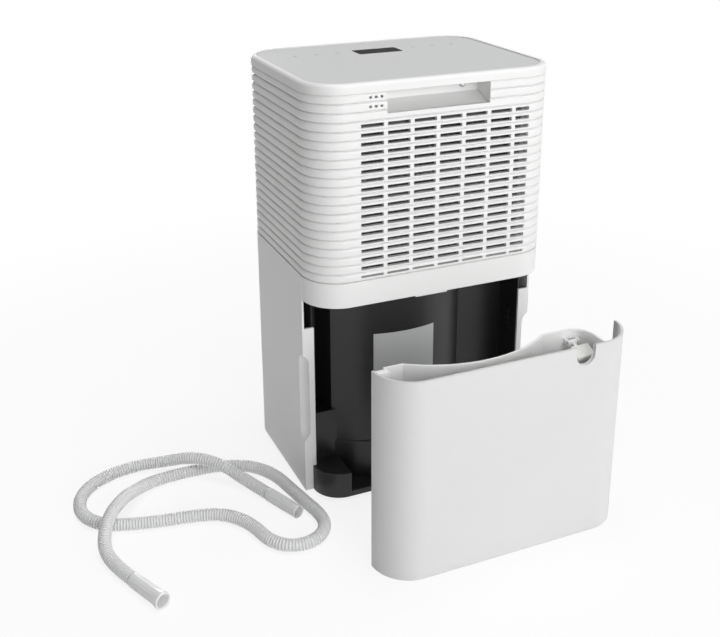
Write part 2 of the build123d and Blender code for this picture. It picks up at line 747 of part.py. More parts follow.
def filter_frame():
    """Frame with one cross bar, and the pull tab that hangs below the band."""
    y = filter_y()
    frame = block((FILTER_LEFT, FILTER_RIGHT), y, (FILTER_LOW, FILTER_HIGH))
    middle = (FILTER_LOW + FILTER_HIGH) / 2
    window_x = (FILTER_LEFT + FILTER_BAR, FILTER_RIGHT - FILTER_BAR)
    lower = (FILTER_LOW + FILTER_BAR, middle - FILTER_BAR / 2)
    upper = (middle + FILTER_BAR / 2, FILTER_HIGH - FILTER_BAR)
    for window_z in (lower, upper):
        frame -= block(window_x, (y[0] - 1, y[1] + 1), window_z)
    tab_y = (y[0] + (FILTER_T - TAB_T) / 2, y[1] - (FILTER_T - TAB_T) / 2)
    tab = block((TAB_X - TAB_W / 2, TAB_X + TAB_W / 2), tab_y, (BAND_LOW - TAB_DROP, FILTER_LOW))
    return frame + tab


def filter_mesh():
    """Two flat screens in the frame's windows."""
    x = (FILTER_LEFT + FILTER_BAR, FILTER_RIGHT - FILTER_BAR)
    y_mid = sum(filter_y()) / 2
    y = (y_mid - FILTER_MESH_T / 2, y_mid + FILTER_MESH_T / 2)
    middle = (FILTER_LOW + FILTER_HIGH) / 2
    return [
        block(x, y, (FILTER_LOW + FILTER_BAR, middle - FILTER_BAR / 2)),
        block(x, y, (middle + FILTER_BAR / 2, FILTER_HIGH - FILTER_BAR)),
    ]


def filter_guides():
    """Grooved posts inside the rear wall that the filter slides down in."""
    y = filter_y()
    core = body_slab(CORE_INSET, FILTER_LOW, FILTER_HIGH)
    guides = []
    for side, edge in ((-1, FILTER_LEFT), (1, FILTER_RIGHT)):
        out = edge + side * GUIDE_W
        inn = edge - side * GUIDE_W / 2
        post = block((min(out, inn), max(out, inn)), (CORE_REAR, REAR + DECK_REAR), (FILTER_LOW, FILTER_HIGH))
        groove_end = edge + side * GAP
        groove = block(
            (min(groove_end, inn - side), max(groove_end, inn - side)), (y[0] - GAP, y[1] + GAP),
            (FILTER_LOW - 1, FILTER_HIGH + 1),
        )
        guides.append((post & core) - groove)
    return guides


def coil_port(side, middle_y, row):
    """End of one tube of a coil, on the left (-1) or the right (1)."""
    step = (COIL_TOP - COIL_LOW) / COIL_ROWS
    x = COIL_X + side * (COIL_W / 2 + COIL_TUBE_OUT)
    return x, middle_y - COIL_TUBE_OFF, COIL_LOW + (row + 0.5) * step


def coil(middle_y):
    """Fin pack on two columns of straight tubes."""
    pitch = COIL_W / FIN_COUNT
    left = COIL_X - COIL_W / 2
    y = (middle_y - COIL_T / 2, middle_y + COIL_T / 2)
    fins = []
    for i in range(FIN_COUNT + 1):
        x = left + i * pitch
        fins.append(block((x - FIN_T / 2, x + FIN_T / 2), y, (COIL_LOW, COIL_TOP)))
    tubes = []
    for row in range(COIL_ROWS):
        for shift in (0, 2 * COIL_TUBE_OFF):
            start = Vector(*coil_port(-1, middle_y + shift, row))
            end = Vector(*coil_port(1, middle_y + shift, row))
            tubes.append(rod(tuple(start), tuple(end), COIL_TUBE_R))
    return Part() + fins + tubes


def fan_scroll():
    """Casing round the wheel with a duct to the outlet slots and a foot on the deck."""
    y = (SCROLL_Y, SCROLL_BACK)
    inner_y = (SCROLL_Y + SCROLL_T, SCROLL_BACK - SCROLL_T)
    duct_z = (FAN_Z + SCROLL_R - DUCT_H, FAN_Z + SCROLL_R)
    duct_end = BODY_W / 2 - CORE_INSET - GAP
    casing = rod((FAN_X, y[0], FAN_Z), (FAN_X, y[1], FAN_Z), SCROLL_R)
    casing += block((FAN_X, duct_end), y, duct_z)
    foot = block((FAN_X - SCROLL_R / 2, FAN_X + SCROLL_R / 2), y, (DECK_TOP, FAN_Z - SCROLL_R / 2))
    casing += foot
    casing -= rod((FAN_X, inner_y[0], FAN_Z), (FAN_X, inner_y[1], FAN_Z), SCROLL_R - SCROLL_T)
    hollow_z = (duct_z[0] + SCROLL_T, duct_z[1] - SCROLL_T)
    casing -= block((FAN_X, duct_end + 1), inner_y, hollow_z)
    casing -= rod((FAN_X, y[0] - 1, FAN_Z), (FAN_X, inner_y[0] + 1, FAN_Z), INLET_R)
    return casing - rod((FAN_X, inner_y[1] - 1, FAN_Z), (FAN_X, y[1] + 1, FAN_Z), MOTOR_HOLE_R)


def wheel_y():
    """Front and back face of the fan wheel, centred in the scroll."""
    middle = (SCROLL_Y + SCROLL_BACK) / 2
    return middle - WHEEL_W / 2, middle + WHEEL_W / 2


def fan_wheel():
    """Drum wheel: a ring of blades between a back disc and a front ring, on a hub."""
    y = wheel_y()
    disc = rod((FAN_X, y[1] - DISC_T, FAN_Z), (FAN_X, y[1], FAN_Z), WHEEL_R)
    ring = tube((FAN_X, y[0], FAN_Z), (FAN_X, y[0] + DISC_T, FAN_Z), WHEEL_R, WHEEL_R - BLADE_L)
    hub = rod((FAN_X, y[0] + WHEEL_W / 2, FAN_Z), (FAN_X, y[1], FAN_Z), HUB_R)
    middle = WHEEL_R - BLADE_L / 2
    blade = Pos(middle, 0, 0) * Rot(0, 30, 0) * Box(BLADE_L - 2, WHEEL_W - DISC_T, BLADE_T)
    place = Pos(FAN_X, (y[0] + y[1]) / 2, FAN_Z)
    blades = [place * Rot(0, i * 360 / BLADE_COUNT, 0) * blade for i in range(BLADE_COUNT)]
    wheel = disc + ring + hub + blades
    return wheel - rod((FAN_X, y[0], FAN_Z), (FAN_X, y[1] + 1, FAN_Z), SHAFT_R)


def fan_shaft():
    start = (FAN_X, wheel_y()[0] + WHEEL_W / 2, FAN_Z)
    return rod(start, (FAN_X, SCROLL_BACK + SHAFT_IN_MOTOR, FAN_Z), SHAFT_R)


def fan_motor():
    """Motor on the back of the scroll, with the bore that carries the shaft."""
    flange = rod((FAN_X, SCROLL_BACK, FAN_Z), (FAN_X, SCROLL_BACK + MOTOR_FLANGE_T, FAN_Z), MOTOR_FLANGE_R)
    can = rod((FAN_X, SCROLL_BACK, FAN_Z), (FAN_X, SCROLL_BACK + MOTOR_L, FAN_Z), MOTOR_R)
    can = fillet(can.faces().sort_by(Axis.Y)[-1].edges(), MOTOR_R / 6)
    bore = rod(
        (FAN_X, SCROLL_BACK - 1, FAN_Z), (FAN_X, SCROLL_BACK + SHAFT_IN_MOTOR + GAP, FAN_Z),
        SHAFT_R + SHAFT_PLAY,
    )
    return flange + can - bore


def comp_low():
    return TRAY_FLOOR + MOUNT_H


def mount_places():
    """Plan places of the three mounts: one towards the front, two beside the can."""
    return [
        (BULGE_X, COMP_Y + MOUNT_AHEAD),
        (BULGE_X - MOUNT_SIDE, COMP_Y - MOUNT_BEHIND),
        (BULGE_X + MOUNT_SIDE, COMP_Y - MOUNT_BEHIND),
    ]


def compressor():
    """Sealed can on a foot plate with three bolt holes."""
    low = comp_low()
    can = rod((BULGE_X, COMP_Y, low), (BULGE_X, COMP_Y, low + COMP_H), COMP_R)
    can = fillet(can.faces().sort_by(Axis.Z)[-1].edges(), COMP_ROUND)
    corners = mount_places()
    plate = Pos(0, 0, low) * extrude(make_face(Polyline(*corners, close=True)), PLATE_FOOT_T)
    plate += [rod((x, y, low), (x, y, low + PLATE_FOOT_T), MOUNT_R) for x, y in corners]
    return can + plate - [rod((x, y, low - 1), (x, y, low + COMP_H), BOLT_R) for x, y in corners]


def compressor_mounts():
    return [tube((x, y, TRAY_FLOOR), (x, y, comp_low()), MOUNT_R, BOLT_R) for x, y in mount_places()]


def mount_bolts():
    """Bolts up from the tray through each rubber mount, with their nuts."""
    high = comp_low() + PLATE_FOOT_T
    bolts = []
    for x, y in mount_places():
        bolt = rod((x, y, TRAY_FLOOR), (x, y, high + 8), BOLT_R)
        nut = Pos(x, y, high) * extrude(RegularPolygon(2 * BOLT_R, 6), 5)
        bolts.append(bolt + nut)
    return bolts


def suction_riser():
    return coil_port(-1, EVAP_Y, 0)[0] - RISER_OUT, COMP_Y + RISER_AHEAD


def discharge_riser():
    return coil_port(1, COND_Y, 0)[0] + RISER_OUT, COMP_Y + RISER_AHEAD


def pipe(points):
    """Copper pipe through the points, with equal bends."""
    path = FilletPolyline(*points, radius=PIPE_BEND)
    start = Plane(origin=path @ 0, z_dir=path % 0)
    return sweep(start * Circle(PIPE_R), path)


def pipe_start(off):
    """Point on top of the compressor's can where a pipe leaves it."""
    return BULGE_X + off, COMP_Y + PIPE_OFF, comp_low() + COMP_H


def suction_pipe():
    """From the compressor, up past the deck, to the left end of the evaporator."""
    x, y = suction_riser()
    a = pipe_start(-PIPE_SPREAD)
    level = DECK_LOW - PIPE_HIGH
    end = coil_port(-1, EVAP_Y, COIL_ROWS - 2)
    return pipe([a, (*a[:2], level), (x, y, level), (x, y, end[2]), (x, *end[1:]), end])


def discharge_pipe():
    """From the compressor, up past the deck, to the right end of the condenser."""
    x, y = discharge_riser()
    a = pipe_start(PIPE_SPREAD)
    level = DECK_LOW - PIPE_HIGH
    end = coil_port(1, COND_Y, 2)
    return pipe([a, (*a[:2], level), (x, y, level), (x, y, end[2]), (x, *end[1:]), end])


def liquid_line():
    """Loop from the condenser's outlet to the evaporator's inlet."""
    start = coil_port(-1, COND_Y, 1)
    end = coil_port(-1, EVAP_Y, 1)
    out = start[0] - LOOP_OUT
    return pipe([start, (out, *start[1:]), (out, *end[1:]), end])


def power_box():
    x = (BOX_INSET - BODY_W / 2, BOX_INSET - BODY_W / 2 + BOX_W)
    y = (FRONT - CORE_INSET - WALL_ROOM - BOX_D, FRONT - CORE_INSET - WALL_ROOM)
    box = block(x, y, (DECK_TOP, DECK_TOP + BOX_H))
    return fillet(box.edges().filter_by(Axis.Z), 3)


def capacitor():
    x = BODY_W / 2 - CAP_INSET
    y = FRONT - CORE_INSET - WALL_ROOM - CAP_R
    can = rod((x, y, DECK_TOP), (x, y, DECK_TOP + CAP_H), CAP_R)
    return fillet(can.faces().sort_by(Axis.Z)[-1].edges(), 2)


def humidity_sensor():
    """Small board behind the six holes, on the inside of the rear wall."""
    x = (HOLE_X - 1.5 * HOLE_STEP_X, HOLE_X + HOLE_STEP_X + HOLE_W / 2)
    z = (rib_middle(RIB_COUNT - 2) - 4, rib_middle(RIB_COUNT - 1) + 4)
    return block(x, (CORE_REAR, CORE_REAR + 3), z)


def tank_switch():
    """Sensor block on the right wall of the bay, with three pips."""
    y = (END_Y + END_T + BAY_BACK) / 2
    z = BAND_LOW - SWITCH_DROP
    face = BAY_HALF_W - 1.2
    switch = Pos((face + BAY_HALF_W) / 2, y, z) * Box(BAY_HALF_W - face, SWITCH_W, SWITCH_H)
    heights = (z - PIP_STEP, z, z + PIP_STEP)
    return switch + [rod((face - 0.8, y, h), (face + 0.2, y, h), 1.5) for h in heights]


def cord_gland():
    """Bushing in the right side where the mains lead passes in."""
    wall = BODY_W / 2
    neck = tube((wall - 12, GLAND_Y, GLAND_Z), (wall, GLAND_Y, GLAND_Z), GLAND_R - 2 - GAP / 3, GLAND_BORE)
    return neck + tube((wall, GLAND_Y, GLAND_Z), (wall + 2, GLAND_Y, GLAND_Z), GLAND_R, GLAND_BORE)


def hose_path():
    """Straight runs joined by arcs that are as large as the runs allow."""
    points = [Vector(*p) for p in HOSE_ROUTE]
    radii = []
    for a, b, c in zip(points, points[1:], points[2:]):
        turn = (b - a).get_angle(c - b)
        radii.append(0.45 * min((b - a).length, (c - b).length) / tan(radians(turn) / 2))
    print("hose radii", [round(r) for r in radii])
    return FilletPolyline(*points, radius=radii)


def hose_plane(path, along):
    """Cross plane of the hose at a share of its length, with a level X axis."""
    ahead = path % along
    return Plane(origin=path @ along, x_dir=(ahead.Y, -ahead.X, 0), z_dir=ahead)


def drain_hose():
    """Ribbed tube: each rib is a ruled loft through four circles, and the bore follows the route."""
    path = hose_path()
    end = HOSE_OD / path.length
    step = (1 - 2 * end) / HOSE_RIBS
    crest = HOSE_OD / 2
    valley = HOSE_VALLEY_OD / 2
    rings = [(0.0, valley)]
    for i in range(HOSE_RIBS):
        start = end + i * step
        rings += [(start, valley), (start + step / 4, crest), (start + step / 2, crest)]
        rings.append((start + 3 * step / 4, valley))
    rings.append((1.0, valley))
    outside = loft([hose_plane(path, a) * Circle(r) for a, r in rings], ruled=True)
    bore = sweep(hose_plane(path, 0) * Circle(HOSE_BORE / 2), path)
    hose = outside - bore
    slope = (crest ** 2 + crest * valley + valley ** 2) / 3
    section = pi * ((2 * slope + crest ** 2 + valley ** 2) / 4 - HOSE_BORE ** 2 / 4)
    print("hose volume", round(hose.volume), "section times length", round(section * path.length))
    print("hose length", round(path.length), "least gap to itself", round(hose_gap(path), 2))
    return hose


def hose_gap(path):
    """Least gap between stretches of the hose that lie more than a few diameters apart along it."""
    count = round(path.length / 3)
    points = [path @ (i / count) for i in range(count + 1)]
    apart = round(6 * HOSE_OD / 3)
    pairs = [(a, b) for i, a in enumerate(points) for b in points[i + apart:]]
    return min((a - b).length for a, b in pairs) - HOSE_OD


def cuff_ends(joint, inner):
    """Joint and far end of a cuff that carries on straight from the hose's end run."""
    out = (Vector(*joint) - Vector(*inner)).normalized()
    return Vector(*joint), Vector(*joint) + out * CUFF_L


def spout_cuff():
    joint, tip = cuff_ends(HOSE_ROUTE[0], HOSE_ROUTE[1])
    return tube(tuple(joint), tuple(tip), CUFF_OD / 2, CUFF_BORE / 2)


def outlet_cuff():
    """Cuff with a flared mouth."""
    joint, tip = cuff_ends(HOSE_ROUTE[-1], HOSE_ROUTE[-2])
    neck = tip + (joint - tip).normalized() * FLARE_L
    cuff = rod(tuple(joint), tuple(neck), CUFF_OD / 2)
    cone = Cone(CUFF_OD / 2, FLARE_OD / 2, FLARE_L, align=(Align.CENTER, Align.CENTER, Align.MIN))
    cuff += Plane(origin=neck, z_dir=tip - joint) * cone
    return cuff - rod(tuple(joint), tuple(tip), CUFF_BORE / 2)


NODES = {
    "upper_housing": upper_housing,
    "handle_pocket": handle_pocket,
    "top_rim": top_rim,
    "top_panel": top_panel,
    "display_window": display_window,
    "control_board": control_board,
    "lower_housing": lower_housing,
    "base_tray": base_tray,
    "rubber_feet": rubber_feet,
    "bay_liner": bay_liner,
    "bay_plate": bay_plate,
    "tank_switch": tank_switch,
    "deck": deck,
    "drip_tray": drip_tray,
    "drain_spout": drain_spout,
    "filter_guides": filter_guides,
    "filter_frame": filter_frame,
    "filter_mesh": filter_mesh,
    "evaporator": lambda: coil(EVAP_Y),
    "condenser": lambda: coil(COND_Y),
    "fan_scroll": fan_scroll,
    "fan_motor": fan_motor,
    "fan_shaft": fan_shaft,
    "fan_wheel": fan_wheel,
    "compressor": compressor,
    "compressor_mounts": compressor_mounts,
    "mount_bolts": mount_bolts,
    "suction_pipe": suction_pipe,
    "discharge_pipe": discharge_pipe,
    "liquid_line": liquid_line,
    "power_box": power_box,
    "capacitor": capacitor,
    "humidity_sensor": humidity_sensor,
    "cord_gland": cord_gland,
    "tank_panel": tank_panel,
    "tank_container": tank_container,
    "float_pin": float_pin,
    "float_arm": float_arm,
    "float_block": float_block,
    "drain_hose": drain_hose,
    "spout_cuff": spout_cuff,
    "outlet_cuff": outlet_cuff,
}

os.makedirs("parts", exist_ok=True)
for node, make in NODES.items():
    piece = make()
    solids = [s for p in piece for s in p.solids()] if isinstance(piece, list) else piece.solids()
    export_step(solids[0] if len(solids) == 1 else Compound(children=solids), f"parts/{node}.step")
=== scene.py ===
import bpy
import numpy as np
from mathutils import Matrix, Vector


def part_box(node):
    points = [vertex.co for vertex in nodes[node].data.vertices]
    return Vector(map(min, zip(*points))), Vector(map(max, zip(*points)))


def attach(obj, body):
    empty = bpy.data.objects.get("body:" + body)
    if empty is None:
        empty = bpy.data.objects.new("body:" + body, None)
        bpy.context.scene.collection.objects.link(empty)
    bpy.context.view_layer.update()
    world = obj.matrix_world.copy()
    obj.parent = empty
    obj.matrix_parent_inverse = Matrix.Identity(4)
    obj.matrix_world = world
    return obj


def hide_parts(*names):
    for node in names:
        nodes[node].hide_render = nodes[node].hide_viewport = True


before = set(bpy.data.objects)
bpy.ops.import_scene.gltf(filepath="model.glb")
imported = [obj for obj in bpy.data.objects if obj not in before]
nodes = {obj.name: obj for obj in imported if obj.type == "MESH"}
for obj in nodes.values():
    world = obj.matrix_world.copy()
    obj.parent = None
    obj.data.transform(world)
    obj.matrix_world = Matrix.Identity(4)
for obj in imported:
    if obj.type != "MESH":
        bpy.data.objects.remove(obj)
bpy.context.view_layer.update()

# Camera, fitted to the photograph: place and reach in metres, angles in radians, lens and sensor in
# millimetres, and the shift as a share of the picture's width.
CAMERA_PLACE = np.array([-0.5165, -1.0869, 0.7268])
CAMERA_YAW = 0.40883
CAMERA_PITCH = 0.32988
CAMERA_ROLL = -0.00437
CAMERA_LENS = 52.131
CAMERA_SENSOR = 36.0
CAMERA_SHIFT = -0.15
CAMERA_REACH = 50.0

# Drain hose: the control points of its centre line, written in millimetres and divided into metres.
HOSE_ROUTE = np.array([
    (-195, -69, 8.1), (-212, -28, 8.1), (-237, -3, 23.8), (-266, 23, 23.8), (-291, 46, 11.0),
    (-320, 56, 7.6), (-351, 52, 7.6), (-374, 43, 7.6), (-393, 28, 7.6), (-405, 5, 7.6),
    (-405, -24, 7.6), (-386, -51, 7.6), (-354, -62, 7.6), (-318, -70, 7.6), (-285, -75, 7.6),
    (-257, -84, 7.6), (-239, -103, 7.6), (-229, -125, 7.6), (-224, -149, 7.6), (-211, -168, 7.6),
    (-189, -175, 7.6), (-167, -168, 7.6), (-154, -149, 7.6), (-154, -126, 7.6), (-160, -102, 7.6),
    (-167, -68, 7.6), (-175, -30, 7.6), (-199, 2, 7.6), (-234, 15, 7.6), (-278, 17, 7.6),
    (-317, 14, 7.6), (-343, -6, 13.0), (-360, -32, 23.8), (-382, -61, 23.8), (-395, -97, 13.0),
    (-388, -128, 7.7), (-375, -158, 8.4),
]) / 1000

# The hose's radii, the length without ribs at each end, and how finely it is drawn: sides round it, steps
# along each rib, and the steps that the bore and the recorded path take at a time.
HOSE_CREST = 0.0075
HOSE_VALLEY = 0.0061
HOSE_BORE = 0.0050
HOSE_RIBS = 340
HOSE_PLAIN = 0.0015
HOSE_SIDES = 22
RIB_STEPS = 6
RIB_POWER = 0.8
BORE_STEP = 8

# The cuffs on the hose's ends.
CUFF_LENGTH = 0.052
CUFF_SIDES = 112
CUFF_FLUTES = 14
FLUTE_DEPTH = 0.00022

# Where the vinyl has no ribs, its place on the hose's scale from the painted shade of a valley to a pale
# crest: the bore is coloured half in painted shade, the cuffs nearer a crest.
BORE_SHADING = 0.5
CUFF_RIB = 0.8

# Filter: pitch, radius and sides of the screen's threads, the height of the bar between its two panes, and
# the level under which the frame is white.
THREAD_PITCH = 0.0016
THREAD_R = 0.00026
THREAD_SIDES = 6
SCREEN_BAR = 0.008
TAB_TOP = 0.2525

# Touch marks on the top panel, and the sides of round fittings.
PANEL_TOP = 0.5022
MARK_X = (-0.1035, -0.0765, -0.05, 0.05, 0.0765, 0.1035)
MARK_Y = 0.056
MARK_RISE = 0.00012
MARK_INNER = 0.0017
MARK_OUTER = 0.0024
MARK_SIDES = 24
SCREW_SIDES = 32

# Floor: its level, reach and lines each way, and the distances between which its shadows fade, in metres.
FLOOR_LEVEL = -0.0003
FLOOR_REACH = 6
FLOOR_LINES = 13
FADE_START = 0.3
FADE_END = 1.0

# The floor's share of plain white: what it throws on the object, what the eye sees more, and more far out.
WHITE_THROWN = 0.2
WHITE_SEEN = 0.62
WHITE_FAR = 0.18

# The world's strength: what it throws on the object, and what the eye sees more.
WORLD_THROWN = 0.06
WORLD_SEEN = 0.94

# Shared shader values: the bend of light in plastic, the samples of a softened edge, how far light spreads
# in a milky wall, and the Mix node's colour sockets.
PLASTIC_IOR = 1.46
EDGE_SAMPLES = 4
GLOW_SCALE = 0.006
MIX_A = 6
MIX_B = 7
MIX_RESULT = 2


# Meshes

def new_piece(name, verts, faces, finish, body, slot, smooth=True):
    """Object with that mesh and finish, riding on a body. The slot argument is not used."""
    mesh = bpy.data.meshes.new(name)
    mesh.from_pydata(verts.tolist(), [], facing_out(verts, faces).tolist())
    mesh.polygons.foreach_set("use_smooth", np.full(len(mesh.polygons), smooth))
    mesh.update()
    obj = bpy.data.objects.new(name, mesh)
    bpy.context.collection.objects.link(obj)
    mesh.materials.append(finish)
    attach(obj, body)
    return obj


def facing_out(verts, quads):
    """Quads turned so that the volume they enclose is positive.

    Six times the volume is the sum of the triple products of the quads' two triangles.
    """
    a, b, c, d = np.moveaxis(verts[quads], 1, 0)
    volume = np.sum(a * np.cross(b, c)) + np.sum(a * np.cross(c, d))
    return quads if volume > 0 else quads[:, ::-1]


def joined(surfaces):
    """One list of points and quads from several, with each one's quads moved past the points before it."""
    firsts = np.cumsum([0] + [len(verts) for verts, _ in surfaces])
    verts = np.concatenate([verts for verts, _ in surfaces])
    faces = np.concatenate([faces + first for (_, faces), first in zip(surfaces, firsts)])
    return verts, faces


def grid_faces(rows, columns, close_rows, close_columns):
    """Quads of a grid of points, row after row; a closed direction joins its last line to its first."""
    r = np.arange(rows if close_rows else rows - 1)
    c = np.arange(columns if close_columns else columns - 1)
    r, c = np.meshgrid(r, c, indexing="ij")
    r2 = (r + 1) % rows
    c2 = (c + 1) % columns
    quads = np.stack([r * columns + c, r * columns + c2, r2 * columns + c2, r2 * columns + c], -1)
    return quads.reshape(-1, 4)


def unit(v):
    """Vectors divided by their lengths."""
    return v / np.linalg.norm(v, axis=-1, keepdims=True)


def once_round(sides):
    """Evenly spaced angles of one full turn."""
    return np.linspace(0, 2 * np.pi, sides, endpoint=False)


def turned_rings(points, radii, sides):
    """Grid of circles square to a line: centre + radius * (cos a * side + sin a * up), a once round.

    The side vector is level and square to the line, and the up vector is square to both.
    """
    along = unit(np.gradient(points, axis=0))
    side = unit(np.stack([along[:, 1], -along[:, 0], np.zeros(len(points))], -1))
    up = np.cross(side, along)
    a = once_round(sides)
    ring = np.cos(a)[None, :, None] * side[:, None, :] + np.sin(a)[None, :, None] * up[:, None, :]
    return points[:, None, :] + radii[:, None, None] * ring


def revolved(start, end, profile, sides, flutes=0, depth=0.0):
    """Closed surface of revolution about the line from start to end.

    The profile is a closed loop of (share of the line, radius), and each of its points goes once round the
    line. A third value in the profile is how much of the flutes a point has:
    radius - depth * value * cos(flutes * a).
    """
    profile = np.array(profile)
    axis = end - start
    along = unit(axis)
    side = np.array([along[1], -along[0], 0.0])
    side = unit(side) if np.any(side) else np.array([1.0, 0.0, 0.0])
    up = np.cross(side, along)
    a = once_round(sides)
    ring = np.cos(a)[:, None] * side + np.sin(a)[:, None] * up
    radius = np.repeat(profile[:, 1:2], sides, 1)
    if flutes:
        radius = radius - depth * profile[:, 2:] * np.cos(flutes * a)
    verts = start + profile[:, None, :1] * axis + radius[:, :, None] * ring[None]
    return verts.reshape(-1, 3), grid_faces(len(profile), sides, True, True)


# Shaders

class Sock:
    """An output socket of a shader tree. Arithmetic on it adds Math nodes, and node() adds any other node."""

    def __init__(self, tree, socket=None):
        self.tree = tree
        self.socket = socket

    def node(self, kind, settings=None, inputs=None, out=0):
        """Adds a node of that kind, sets its settings first and then the values or links of its sockets."""
        made = self.tree.nodes.new("ShaderNode" + kind)
        for key, value in (settings or {}).items():
            setattr(made, key, value)
        for key, value in (inputs or {}).items():
            if isinstance(value, Sock):
                self.tree.links.new(value.socket, made.inputs[key])
            else:
                made.inputs[key].default_value = value
        return Sock(self.tree, made.outputs[out])

    def beside(self, name):
        """Another output of the same node."""
        return Sock(self.tree, self.socket.node.outputs[name])

    def math(self, operation, a, b):
        return self.node("Math", {"operation": operation}, {0: a, 1: b})

    def __add__(self, other):
        return self.math("ADD", self, other)

    def __radd__(self, other):
        return self.math("ADD", other, self)

    def __mul__(self, other):
        return self.math("MULTIPLY", self, other)

    def __rmul__(self, other):
        return self.math("MULTIPLY", other, self)

    def noise(self, place, scale, detail=2.0):
        return self.node("TexNoise", None, {"Vector": place, "Scale": scale, "Detail": detail})

    def mix(self, share, a, b):
        """Colour between a and b by share."""
        inputs = {"Factor": share, MIX_A: a, MIX_B: b}
        return self.node("Mix", {"data_type": "RGBA"}, inputs, out=MIX_RESULT)

    def soft_edge(self, radius):
        """Normal that rounds the edges by that radius."""
        return self.node("Bevel", {"samples": EDGE_SAMPLES}, {"Radius": radius})


def colour(r, g, b):
    return (r, g, b, 1.0)


def dimmed(tint, share):
    """That share of a colour."""
    return colour(*(c * share for c in tint))


def new_material(name):
    """Material with an empty tree; returns it, its tree's root socket and its Object coordinates."""
    material = bpy.data.materials.new(name)
    material.use_nodes = True
    tree = material.node_tree
    tree.nodes.clear()
    root = Sock(tree)
    place = root.node("TexCoord", out="Object")
    return material, root, place


def link_out(root, shader, kind="Material"):
    """Ends the tree in that shader."""
    made = root.tree.nodes.new("ShaderNodeOutput" + kind)
    root.tree.links.new(shader.socket, made.inputs["Surface"])


def moulded(name, tint, rough, grain, depth, edge=0.0009, coat=0.0, mottle=0.03, spread=0.08, glow=0.0):
    """Moulded plastic: faint cloudy mottle, uneven sheen, a fine sparked grain and softened edges.

    glow is the share of the light that spreads inside a thin milky wall.
    """
    material, root, place = new_material(name)
    cloud = root.noise(place, 7.0, 3.0)
    specks = root.noise(place, 160.0)
    shade = root.mix(cloud * 0.7 + specks * 0.3, dimmed(tint, 1 - 2 * mottle), colour(*tint))
    sheen = rough - spread / 2 + spread * cloud
    fine = root.noise(place, grain)
    bump = root.node("Bump", None, {
        "Strength": 0.35, "Distance": depth, "Height": fine, "Normal": root.soft_edge(edge),
    })
    shader = root.node("BsdfPrincipled", None, {
        "Base Color": shade, "Roughness": sheen, "Normal": bump, "IOR": PLASTIC_IOR, "Coat Weight": coat,
        "Subsurface Weight": glow, "Subsurface Radius": (1.0, 1.0, 1.0), "Subsurface Scale": GLOW_SCALE,
    })
    link_out(root, shader)
    return material


def display_glass():
    """Dark tinted window over a module: even gloss with faint smears."""
    material, root, place = new_material("display_glass")
    smear = root.noise(place, 60.0, 4.0)
    shade = root.mix(smear, colour(0.004, 0.004, 0.005), colour(0.012, 0.012, 0.014))
    shader = root.node("BsdfPrincipled", None, {
        "Base Color": shade, "Roughness": 0.10 + 0.1 * smear, "IOR": 1.3, "Specular IOR Level": 0.005,
    })
    link_out(root, shader)
    return material


def hose_vinyl(name, clear):
    """Milky vinyl: a little of the light passes through, the rest scatters, with a faintly uneven sheen.

    The piece's own attribute is 1 on a crest, coloured pale, and 0 in a valley, coloured a darker grey as
    painted shade.
    """
    material, root, place = new_material(name)
    cloud = root.noise(place, 30.0)
    rib_shading = root.node("Attribute", {"attribute_name": "rib_shading"}, out="Fac")
    crest_tone = root.mix(cloud, colour(0.94, 0.945, 0.945), colour(0.98, 0.98, 0.98))
    # Painted shade: the valleys between the ribs, and the bore, get a darker grey colour than the crests.
    shade = root.mix(rib_shading, colour(0.72, 0.725, 0.725), crest_tone)
    fine = root.noise(place, 900.0)
    bump = root.node("Bump", None, {"Strength": 0.08, "Distance": 0.00005, "Height": fine})
    shader = root.node("BsdfPrincipled", None, {
        "Base Color": shade, "Roughness": 0.30 + 0.1 * cloud, "Normal": bump, "IOR": 1.35,
        "Transmission Weight": clear,
    })
    link_out(root, shader)
    return material


def two_tone(name, low, high, level):
    """Moulded plastic of one colour below a level and another above it, with a fine grain over both."""
    material, root, place = new_material(name)
    height = root.node("SeparateXYZ", None, {"Vector": place}, out="Z")
    above = root.math("GREATER_THAN", height, level)
    cloud = root.noise(place, 12.0, 3.0)
    pale = root.mix(cloud, dimmed(low, 0.94), colour(*low))
    dark = root.mix(cloud, dimmed(high, 0.8), colour(*high))
    fine = root.noise(place, 1200.0)
    bump = root.node("Bump", None, {"Strength": 0.3, "Distance": 0.00006, "Height": fine})
    shader = root.node("BsdfPrincipled", None, {
        "Base Color": root.mix(above, pale, dark), "Roughness": 0.42 + 0.1 * cloud, "Normal": bump,
        "IOR": PLASTIC_IOR,
    })
    link_out(root, shader)
    return material


def metal(name, tint, rough, streak, stain):
    """Bare metal with fine streaks along Z, dull patches and softened edges."""
    material, root, place = new_material(name)
    stretched = root.node("Mapping", None, {"Vector": place, "Scale": (1.0, 1.0, 0.06)})
    lines = root.noise(stretched, streak, 3.0)
    patch = root.noise(place, 22.0, 3.0)
    shade = root.mix(patch * 0.6 + lines * 0.4, dimmed(tint, 1 - stain), colour(*tint))
    bump = root.node("Bump", None, {
        "Strength": 0.25, "Distance": 0.0001, "Height": lines, "Normal": root.soft_edge(0.0006),
    })
    shader = root.node("BsdfPrincipled", None, {
        "Base Color": shade, "Roughness": rough + 0.18 * patch, "Metallic": 1.0, "Normal": bump,
    })
    link_out(root, shader)
    return material


def lacquered_board():
    """Green board: lacquer over faint square tracks."""
    material, root, place = new_material("lacquered_board")
    tracks = root.node("TexBrick", {"offset": 0.5}, {
        "Vector": place, "Scale": 140.0, "Mortar Size": 0.06,
        "Color1": colour(0.02, 0.10, 0.045), "Color2": colour(0.025, 0.13, 0.055),
        "Mortar": colour(0.05, 0.2, 0.09),
    })
    gloss = root.noise(place, 50.0)
    shader = root.node("BsdfPrincipled", None, {"Base Color": tracks, "Roughness": 0.3 + 0.15 * gloss})
    link_out(root, shader)
    return material


